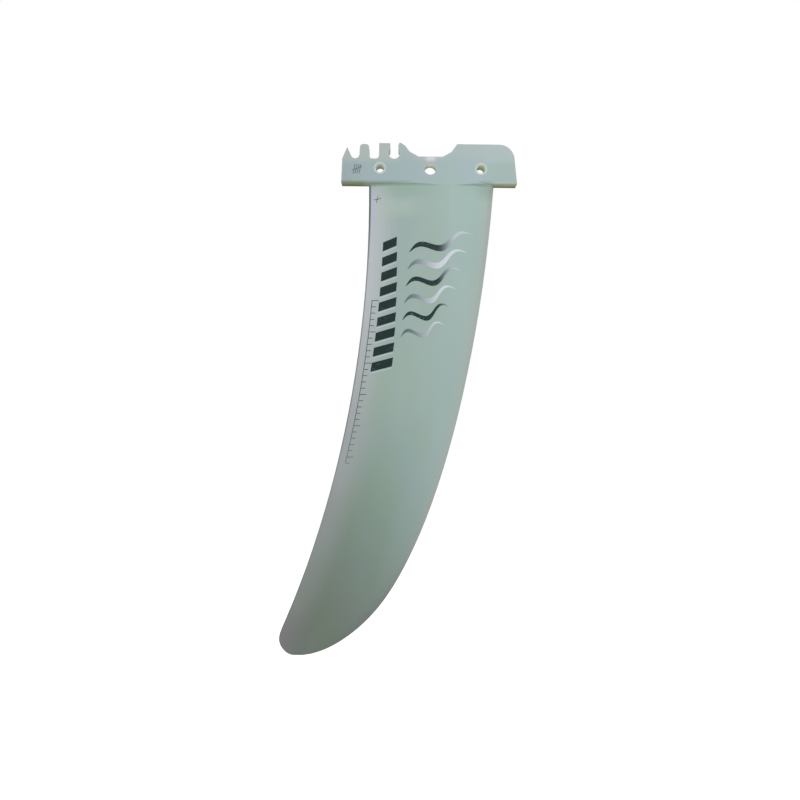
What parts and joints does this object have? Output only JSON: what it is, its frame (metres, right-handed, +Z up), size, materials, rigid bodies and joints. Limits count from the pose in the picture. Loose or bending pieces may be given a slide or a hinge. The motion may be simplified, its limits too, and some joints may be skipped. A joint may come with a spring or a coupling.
{
  "type": "windsurf fin",
  "caption": "Swept windsurf fin in one piece of glass laminate: a foiled blade under a flat head with a bolt bore, cross holes and a notched comb.",
  "frame": {"origin": "where the axis of the bolt's bore meets the axis of the barrel nut's cross hole, in the middle of the head's thickness", "axes": "+X towards the leading edge, +Y across the thickness, out of the fin's left side, and +Z up into the board along the bolt; the blade points down"},
  "size_m": [0.1852, 0.012, 0.4087],
  "materials": {
    "laminate": "pale grey-green glass and resin laminate, satin, with the weave just showing",
    "dark_print": "thin dark blue-green screen print",
    "silver_print": "thin silvery-white screen print"
  },
  "bodies": {
    "root": {"fin": "laminate"}
  },
  "joints": []
}
